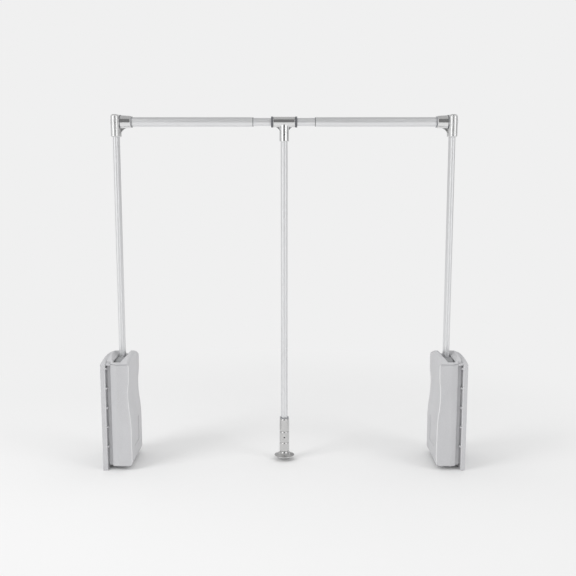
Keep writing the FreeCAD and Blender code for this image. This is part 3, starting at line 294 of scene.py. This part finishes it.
def moulded_acetal():
    """Dark grey moulded acetal: waxy, fairly smooth, with faint flow clouds."""
    material, tree, place = new_material("moulded_grey_acetal")
    clouds = grain(tree, place, 6)
    skin = grain(tree, place, 0.7, 2.0)
    surface(tree, Base_Color=two_tone(tree, clouds, "55565A", "626367"), Metallic=0.0,
            Roughness=between(tree, skin, 0.36, 0.46), IOR=1.48,
            Normal=bump(tree, skin, 0.012, soft_edge(tree, 0.25)))
    return material


def moulded_nylon():
    """Mid grey moulded nylon of the trim rings: smooth, a little glossy."""
    material, tree, place = new_material("moulded_grey_nylon")
    skin = grain(tree, place, 0.9, 2.0)
    surface(tree, Base_Color=two_tone(tree, skin, "88898C", "929396"), Metallic=0.0,
            Roughness=between(tree, skin, 0.30, 0.40), IOR=1.53,
            Normal=bump(tree, skin, 0.01, soft_edge(tree, 0.25)))
    return material


def moulded_rubber():
    """Black moulded rubber: dull, with a dusty grain."""
    material, tree, place = new_material("moulded_rubber")
    dust = grain(tree, place, 0.8, 4.0, 0.7)
    surface(tree, Base_Color=two_tone(tree, dust, "1A1A1B", "303032"), Metallic=0.0,
            Roughness=0.78, IOR=1.52, Normal=bump(tree, dust, 0.02))
    return material


def dress_nodes():
    """Give every node of the frame its finish, and return those that added pieces share."""
    bright, black = plated_casting("chrome_plated_zinc_casting"), black_oxide()
    nickel, acetal = satin_nickel(), moulded_acetal()
    finishes = {
        moulded_abs(): ("mounting_plate", "housing_cover"),
        anodised_tube("z"): ("arm_tube", "pull_rod"),
        anodised_tube("x"): ("outer_tube", "inner_tube"),
        bright: ("corner_connector", "rail_bolt", "tee_casting"),
        nickel: ("handle_grip", "handle_foot"),
        moulded_nylon(): ("socket_ring", "handle_ring"),
        powder_coat(): ("arm_bracket",),
        zinc_plate(): ("push_fork", "cylinder_clamps", "clamp_screws", "cover_screws",
                       "arm_rivets"),
        ground_steel(): ("pivot_shaft", "crank_pin", "gas_spring_rod"),
        black: ("gas_spring_cylinder", "tee_screw", "handle_screw"),
        acetal: ("pivot_bushes", "crank_roller", "rail_plug", "tube_bush", "tee_collars",
                 "tee_bushes"),
        moulded_rubber(): ("up_stop_buffer",),
    }
    for finish, names in finishes.items():
        for name in names:
            for node in (name, "left_" + name, "right_" + name):
                if node in NODES:
                    put_on(NODES[node], finish)
    return bright, black, nickel, acetal


# ---------------------------------------------------------------- turned pieces, in millimetres
def ring_shell(name, points):
    """Closed mesh through a stack of rings, points[k, t] in millimetres, capped at both ends."""
    count, turns = points.shape[:2]
    start = np.arange(count - 1)[:, None] * turns
    low, after = start + np.arange(turns), start + (np.arange(turns) + 1) % turns
    quads = np.stack([low, after, after + turns, low + turns], axis=-1).reshape(-1, 4)
    caps = [list(range(turns))[::-1], list(range((count - 1) * turns, count * turns))]
    return mesh_object(name, (points.reshape(-1, 3) * MM).tolist(), quads.tolist() + caps)


def turned_points(origin, axis, rings, turns):
    """Points of a turned form, rings of (height along the axis, radius, 1 if hexagonal).

    Ring k lies h_k along the axis from the origin. Its radius at the angle t is r_k, and for a
    hexagonal ring r_k / cos(((t + 30) mod 60) - 30 degrees), with its flats r_k from the axis.
    """
    angle = np.arange(turns) * 2 * math.pi / turns
    sixth = math.pi / 3
    hexagon = 1 / np.cos((angle + sixth / 2) % sixth - sixth / 2)
    heights, radii, socket = (np.array(column, dtype=float)[:, None] for column in zip(*rings))
    radii = radii * np.where(socket > 0, hexagon, 1)
    along = Vector(axis).normalized()
    across = along.orthogonal().normalized()
    third = np.array(along.cross(across))
    along, across = np.array(along), np.array(across)
    spokes = np.cos(angle)[:, None] * across + np.sin(angle)[:, None] * third
    return np.array(origin) + heights[..., None] * along + radii[..., None] * spokes


def turned_piece(name, body, node, finish, origin, axis, rings, turns=48):
    """Turned piece that rides on a body and may stand for a node of the frame."""
    piece = ring_shell(name, turned_points(origin, axis, rings, turns))
    shade(piece)
    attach(piece, body)
    if node:
        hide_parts(node)
    put_on(piece, finish)


def grub_rings(length, face):
    """Headless screw with its face at a height: end, shank, rim, lead-in and hexagon socket."""
    return [(-length, 1.45, 0), (-length + 0.3, 1.75, 0), (face - 0.2, 1.75, 0),
            (face, 1.55, 0), (face, 1.0, 1), (face - 0.1, 0.9, 1), (face - 1.3, 0.9, 1)]


# shank, flat under the head, rim, dome, flat round the socket, socket with a small lead-in
BOLT_RINGS = [
    (-39.5, 2.4, 0), (-38.9, 3, 0), (0, 3, 0), (0, 7.5, 0), (0.8, 7.5, 0), (1.26, 7.41, 0),
    (1.65, 7.15, 0), (1.91, 6.76, 0), (2, 6.3, 0), (2, 2.3, 1), (1.75, 2, 1), (-1.2, 2, 1)]
# dark round strip in the corner between the sleeve and the collar of the socket: painted shade that
# stands for the shadow gap there
SHADE_GAP_RINGS = [
    (0, 15.6, 0), (0, 16.3, 0), (0.5, 16.45, 0), (1.3, 16.45, 0), (1.7, 16.2, 0), (1.8, 15.6, 0)]
# from the hollow underneath, round the rim, and up the flare to the neck
FOOT_RINGS = [
    (16, 9, 0), (15, 14, 0), (13, 18.5, 0), (11, 22, 0), (10, 23.3, 0), (9.8, 23.9, 0),
    (10.2, 24.4, 0), (11, 24.5, 0), (11.9, 24.3, 0), (12.4, 23.6, 0), (13, 22, 0),
    (13.9, 19.6, 0), (15.1, 17.1, 0), (16.6, 14.9, 0), (18.3, 13.2, 0), (19.9, 12, 0),
    (21, 11.4, 0), (21.4, 11.2, 0)]
RAIL_Y, RAIL_Z = 10, 820
BOLT_SEAT_X = 403.5
SHADE_GAP_X = 383.4


def small_fittings(bright, black, nickel, acetal):
    """Grub screws, the domed bolts that hold the rail, dark collar rings that paint the shadow gap
    at the sockets, and the flared foot.
    """
    forward, up = (0, -1, 0), (0, 0, 1)
    turned_piece("tee_grub_screw", "pull_handle", "tee_screw", black,
                 (0, -0.8, 791), forward, grub_rings(2.8, -0.2))
    turned_piece("handle_grub_screw", "pull_handle", "handle_screw", black,
                 (0, -1.8, 58.4), forward, grub_rings(3.8, -0.3))
    for side, way in SIDES:
        turned_piece(side + "_domed_bolt", side + "_arm", side + "_rail_bolt", bright,
                     (way * BOLT_SEAT_X, RAIL_Y, RAIL_Z), (way, 0, 0), BOLT_RINGS)
        # dark acetal ring that paints the shadow gap between the sleeve and the socket collar
        turned_piece(side + "_collar_shade_gap", side + "_arm", None, acetal,
                     (way * SHADE_GAP_X, RAIL_Y, RAIL_Z), (-way, 0, 0), SHADE_GAP_RINGS, 72)
    turned_piece("flared_foot", "pull_handle", "handle_foot", nickel,
                 (0, RAIL_Y, 0), up, FOOT_RINGS, 96)


# ---------------------------------------------------------------- cast corners, in millimetres
ARM_PLAY = 0.05
RAIL_PLAY = 0.1
SEAT_CORNER = 6.4
SEAT_ROOF = 0.5
WALL_ROOT = 2.5
WEB_HALF = 4


def round_loop(half_x, half_y, radius, arc=13):
    """Rectangle with rounded corners, anticlockwise: each quarter turns about its own centre."""
    angle = (np.arange(4)[:, None] + np.linspace(0, 1, arc)) * math.pi / 2
    sign_x, sign_y = np.array([1, -1, -1, 1])[:, None], np.array([1, 1, -1, -1])[:, None]
    return np.stack([(half_x - radius) * sign_x + radius * np.cos(angle),
                     (half_y - radius) * sign_y + radius * np.sin(angle)], axis=-1).reshape(-1, 2)


def sleeve_shell(centre, half_x, half_y, low, high, seat, seat_top):
    """Upright sleeve, from the roof of its hollow down, out under the wall and up to the crown.

    Every ring is a rounded rectangle. Over the last 6 mm it shrinks by 6 (1 - cos a) while it
    climbs 6 sin a, for a from 0 to 90 degrees.
    """
    crown, corner, chamfer, lead_in = 6, half_x - 0.5, 0.6, 0.4
    seat_x, seat_y, seat_corner = seat
    turn = np.linspace(0, math.pi / 2, 9)
    levels = [
        (*seat, seat_top), (*seat, low + chamfer),
        (seat_x + lead_in, seat_y + lead_in, seat_corner, low),
        (half_x - chamfer, half_y - chamfer, corner - chamfer, low),
        (half_x, half_y, corner, low + chamfer)]
    levels += [(half_x - shrink, half_y - shrink, corner - shrink, height) for shrink, height
               in zip(crown * (1 - np.cos(turn)), high - crown + crown * np.sin(turn))]
    return ring_shell("sleeve", np.stack([
        np.insert(round_loop(x, y, radius) + centre, 2, height, axis=1)
        for x, y, radius, height in levels]))


def socket_rings(length, seat_end, bore):
    """Rail socket from its root: collar, concave neck, straight taper, lip, seat of the tube.

    For a from 0 to 90 degrees the neck falls by 0.8 sin a over 6 mm, and the lip, 1.5 mm round,
    advances 1.5 sin a while it closes by 1.5 (1 - cos a).
    """
    collar, neck, fall, mouth, lip = 16, 6, 0.8, 12.5, 1.5
    share = np.linspace(0, 1, 6)
    turn = share * math.pi / 2
    profile = [(-WALL_ROOT, collar), *zip(neck * share, collar - fall * np.sin(turn)),
               *zip(length - lip * (1 - np.sin(turn)), mouth + lip * np.cos(turn)),
               (length, bore), (seat_end, bore)]
    return [(height, radius, 0) for height, radius in profile]


def hollow_arc(start, end, radius, count=17):
    """Arc of a radius from start to end, about a centre on its right."""
    way = end - start
    length = np.linalg.norm(way)
    side = np.array([way[1], -way[0]]) / length
    centre = (start + end) / 2 + side * math.sqrt(radius ** 2 - (length / 2) ** 2)
    first, last = (math.atan2(*(point - centre)[::-1]) for point in (start, end))
    angle = np.linspace(first, last, count)[:, None]
    return centre + radius * np.hstack([np.cos(angle), np.sin(angle)])


def web_shell(way, mouth, inner, top, foot):
    """Flat web under the socket: a hollow of 22 mm radius from its mouth down the sleeve."""
    start, inside, hollow = mouth + 2, inner + WALL_ROOT, 22
    outline = np.vstack([
        hollow_arc(np.array([start, top - 1]), np.array([inner, foot]), hollow),
        [[inside, foot], [inside, top], [start, top]]])
    faces = [np.insert(outline * (way, 1), 1, RAIL_Y + sign * way * WEB_HALF, axis=1)
             for sign in (1, -1)]
    return ring_shell("web", np.stack(faces))


def fuse(name, shells):
    """One skin of closed shells that run into each other."""
    for shell in shells[1:]:
        union = shells[0].modifiers.new(shell.name, "BOOLEAN")
        union.operation, union.solver, union.object = "UNION", "EXACT", shell
    graph = bpy.context.evaluated_depsgraph_get()
    mesh = bpy.data.meshes.new_from_object(shells[0].evaluated_get(graph))
    for shell in shells:
        bpy.data.objects.remove(shell)
    piece = new_object(name, mesh)
    shade(piece)
    piece.modifiers.new("even_normals", "WEIGHTED_NORMAL").keep_sharp = True
    return piece


def brush_sleeve(casting, finish, inner):
    """Give the faces of a casting that lie beyond the socket's root a second finish."""
    casting.data.materials.append(finish)
    faces = casting.data.polygons
    centres = np.empty(3 * len(faces), dtype=np.float32)
    faces.foreach_get("center", centres)
    beyond = np.abs(centres[::3]) > (inner - 0.01) * MM
    faces.foreach_set("material_index", beyond.astype(np.int32))


def in_millimetres(node):
    """Lowest and highest corner of a right-hand node."""
    return [np.array(corner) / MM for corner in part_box("right_" + node)]


def corner_castings(finish, sleeve_finish):
    """Cast corners with the rail socket on the axis of the rail: sleeve, socket and web fused."""
    low, high = in_millimetres("corner_connector")
    arm_low, arm_high = in_millimetres("arm_tube")
    rail_low, rail_high = in_millimetres("outer_tube")
    arm, rail = (arm_low + arm_high) / 2, (rail_low + rail_high) / 2
    half_x, half_y = high[0] - arm[0], high[1] - arm[1]
    inner, mouth, rail_radius = arm[0] - half_x, low[0], rail[2] - rail_low[2]
    seat = (*((arm_high - arm_low) / 2 + ARM_PLAY)[:2], SEAT_CORNER)
    rings = socket_rings(inner - mouth, inner - rail_high[0], rail_radius + RAIL_PLAY)
    for side, way in SIDES:
        sleeve = sleeve_shell((way * arm[0], arm[1]), half_x, half_y, low[2], high[2],
                              seat, arm_high[2] + SEAT_ROOF)
        root = (way * inner, rail[1], rail[2])
        socket = ring_shell("socket", turned_points(root, (-way, 0, 0), rings, 72))
        web = web_shell(way, mouth, inner, rail[2] - rail_radius - 1, low[2] + 1)
        casting = fuse(side + "_corner_casting", [sleeve, socket, web])
        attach(casting, side + "_arm")
        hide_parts(side + "_corner_connector")
        put_on(casting, finish)
        brush_sleeve(casting, sleeve_finish, inner)


# ---------------------------------------------------------------- studio
FLOOR_TONE = "F0F0F0"
PAPER_TONE = "E6E6E6"
FLOOR_REACH = 30
SHADOW_END, FADE_END = 0.45, 1.3
WORLD_LIGHT = 0.91
LEFT_LAMP = 22
RIGHT_LAMP = 12.5
LAMP_SIZE = 1.1
LAMP_AIM = (0, 0, 0.2)
ROOM_HEIGHT = 6.5
CAMERA_PLACE = (0.009, -1.897, 0.696)
CAMERA_TILT = math.radians(82)


def stage_piece(name, corners):
    """A flat panel of the studio."""
    panel = mesh_object(name, corners, [tuple(range(len(corners)))])
    return panel


def level_panel(left, front, right, back, height=0):
    """Corners of a level panel."""
    return [(left, front, height), (right, front, height), (right, back, height),
            (left, back, height)]


def wall_panel(start, end):
    """Corners of a wall from the floor to the ceiling, over the line from start to end."""
    return [(*start, 0), (*end, 0), (*end, ROOM_HEIGHT), (*start, ROOM_HEIGHT)]


def studio_floor():
    """Pale floor that keeps the shadow near the part and runs into the background beyond."""
    reach = FLOOR_REACH
    floor = stage_piece("floor", level_panel(-reach, -reach, reach, reach))
    material, tree, place = new_material("matt_paper_floor")
    distance = add(tree, "VectorMath", {0: place}, operation="LENGTH").outputs["Value"]
    far = ramp(tree, distance, SHADOW_END, FADE_END, kind="SMOOTHSTEP")
    paper = add(tree, "BsdfDiffuse", {"Color": linear(PAPER_TONE)})
    glow = add(tree, "Emission", {"Color": linear(FLOOR_TONE), "Strength": 1.0})
    finish_material(tree, mix_shaders(tree, far, paper, glow))
    put_on(floor, material)


def studio_world():
    """White room: one level for what it lights, the background tone for what sees it."""
    world = bpy.data.worlds.new("white_room")
    bpy.context.scene.world = world
    world.use_nodes = True
    tree = world.node_tree
    tree.nodes.clear()
    rays = add(tree, "LightPath").outputs
    seen = maths(tree, "MAXIMUM", rays["Is Camera Ray"], rays["Is Glossy Ray"])
    seen = maths(tree, "MAXIMUM", seen, rays["Is Transmission Ray"])
    light = add(tree, "Background", {"Color": (1, 1, 1, 1), "Strength": WORLD_LIGHT})
    view = add(tree, "Background", {"Color": linear(FLOOR_TONE), "Strength": 1.0})
    add(tree, "OutputWorld", {"Surface": mix_shaders(tree, seen, light, view).outputs[0]})


def flag(name, corners, tone, strength=1.0):
    """A panel that only reflections see: grey cloth, or a soft box above strength 1."""
    panel = stage_piece(name, corners)
    panel.visible_camera = False
    panel.visible_diffuse = False
    panel.visible_shadow = False
    material, tree, _ = new_material(name + "_cloth")
    finish_material(tree, add(tree, "Emission", {"Color": linear(tone), "Strength": strength}))
    put_on(panel, material)


def lamp(name, place, power):
    """A square soft lamp that faces the foot of the part; reflections see the panels instead."""
    light = bpy.data.lights.new(name, "AREA")
    light.energy = power
    light.size = LAMP_SIZE
    holder = new_object(name, light)
    holder.location = place
    aim = Vector(LAMP_AIM) - Vector(place)
    holder.rotation_euler = aim.to_track_quat("-Z", "Y").to_euler()
    holder.visible_glossy = False
    holder.visible_camera = False


def studio_light():
    """Two soft lamps, left and right of the camera, and the room that bright metal reflects."""
    lamp("left_lamp", (-2.0, -1.3, 1.8), LEFT_LAMP)
    lamp("right_lamp", (2.2, -1.5, 1.8), RIGHT_LAMP)
    near_left, near_right = (-1.8, -4), (1.8, -4)
    far_left, far_right = (-3.7, -1.7), (3.7, -1.7)
    # the dim room behind the camera has a soft box on either side of it
    flag("room_behind_camera", wall_panel(near_left, near_right), "7C7C7C")
    flag("left_soft_box", wall_panel(far_left, near_left), "FFFFFF", 1.55)
    flag("right_soft_box", wall_panel(near_right, far_right), "FFFFFF", 1.4)
    flag("left_side", wall_panel((-4, 3), far_left), "C8C8C8")
    flag("right_side", wall_panel(far_right, (4, 3)), "AEAEAE")
    flag("ceiling", level_panel(-6, -4, 6, 5, ROOM_HEIGHT), "BCBCBC")
    flag("back_left", wall_panel((-5, 5.5), (-0.6, 5.5)), "BCBCBC")
    flag("back_right", wall_panel((0.6, 5.5), (5, 5.5)), "A8A8A8")


def studio_camera():
    """Camera 1.9 m in front of the part and 0.7 m up, tipped 8 degrees down."""
    camera = bpy.data.cameras.new("camera")
    camera.lens = 50
    camera.sensor_width = 36
    camera.clip_end = 100
    holder = new_object("camera", camera)
    holder.location = CAMERA_PLACE
    holder.rotation_euler = (CAMERA_TILT, 0, 0)
    bpy.context.scene.camera = holder


bright, black, nickel, acetal = dress_nodes()
small_fittings(bright, black, nickel, acetal)
corner_castings(bright, plated_casting("brushed_chrome_plated_zinc", 0.2))
studio_floor()
studio_world()
studio_light()
studio_camera()
bpy.context.scene.view_settings.view_transform = "Standard"
